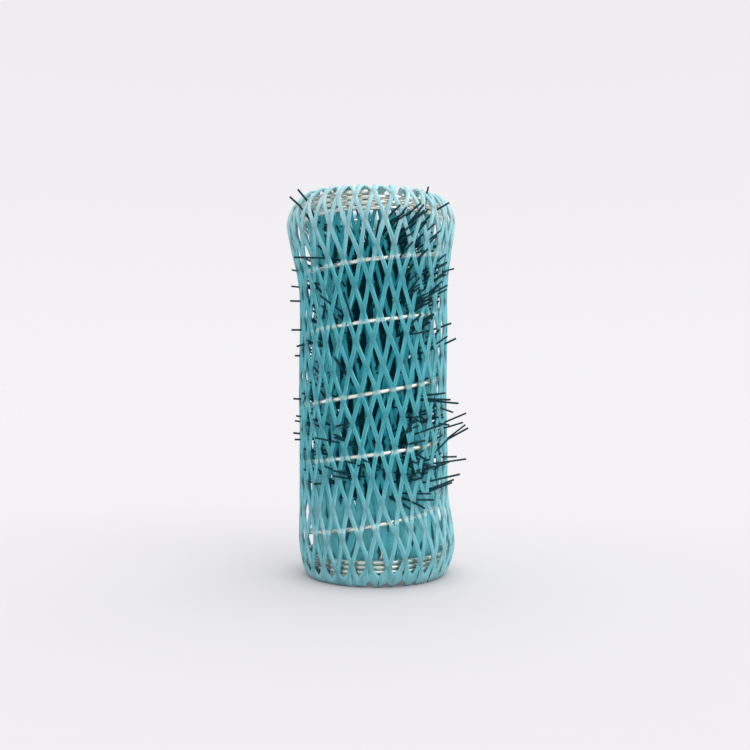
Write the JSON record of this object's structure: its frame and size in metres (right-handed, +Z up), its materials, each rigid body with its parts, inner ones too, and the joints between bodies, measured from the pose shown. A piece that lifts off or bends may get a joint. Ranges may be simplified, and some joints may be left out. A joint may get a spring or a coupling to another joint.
{
  "type": "hair roller",
  "caption": "Brush roller for setting hair: a wire coil spring inside a plastic net sleeve with folded ends, and a twisted-wire brush whose bristles reach out through the net.",
  "frame": {"origin": "middle of the flat ring that the roller stands on", "axes": "+Z up along the roller's axis, -Y towards the front"},
  "size_m": [0.032, 0.0322, 0.063],
  "materials": {
    "net_plastic": "glossy translucent extruded plastic net",
    "spring_steel": "bright drawn spring wire",
    "stem_steel": "bright twisted wire",
    "bristle_nylon": "satin nylon filament"
  },
  "bodies": {
    "root": {"net_sleeve": "net_plastic", "wire_spring": "spring_steel", "stem_wire": "stem_steel", "bristle_tuft_01": "bristle_nylon", "bristle_tuft_02": "bristle_nylon", "bristle_tuft_03": "bristle_nylon", "bristle_tuft_04": "bristle_nylon", "bristle_tuft_05": "bristle_nylon", "bristle_tuft_06": "bristle_nylon", "bristle_tuft_07": "bristle_nylon", "bristle_tuft_08": "bristle_nylon", "bristle_tuft_09": "bristle_nylon", "bristle_tuft_10": "bristle_nylon", "bristle_tuft_11": "bristle_nylon", "bristle_tuft_12": "bristle_nylon", "bristle_tuft_13": "bristle_nylon", "bristle_tuft_14": "bristle_nylon", "bristle_tuft_15": "bristle_nylon", "bristle_tuft_16": "bristle_nylon", "bristle_tuft_17": "bristle_nylon", "bristle_tuft_18": "bristle_nylon", "bristle_tuft_19": "bristle_nylon", "bristle_tuft_20": "bristle_nylon", "bristle_tuft_21": "bristle_nylon", "bristle_tuft_22": "bristle_nylon", "bristle_tuft_23": "bristle_nylon", "bristle_tuft_24": "bristle_nylon", "bristle_tuft_25": "bristle_nylon", "bristle_tuft_26": "bristle_nylon", "bristle_tuft_27": "bristle_nylon", "bristle_tuft_28": "bristle_nylon", "bristle_tuft_29": "bristle_nylon", "bristle_tuft_30": "bristle_nylon", "bristle_tuft_31": "bristle_nylon", "bristle_tuft_32": "bristle_nylon", "bristle_tuft_33": "bristle_nylon", "bristle_tuft_34": "bristle_nylon", "bristle_tuft_35": "bristle_nylon", "bristle_tuft_36": "bristle_nylon", "bristle_tuft_37": "bristle_nylon", "bristle_tuft_38": "bristle_nylon", "bristle_tuft_39": "bristle_nylon", "bristle_tuft_40": "bristle_nylon", "bristle_tuft_41": "bristle_nylon", "bristle_tuft_42": "bristle_nylon", "bristle_tuft_43": "bristle_nylon", "bristle_tuft_44": "bristle_nylon", "bristle_tuft_45": "bristle_nylon", "bristle_tuft_46": "bristle_nylon", "bristle_tuft_47": "bristle_nylon", "bristle_tuft_48": "bristle_nylon"}
  },
  "joints": []
}
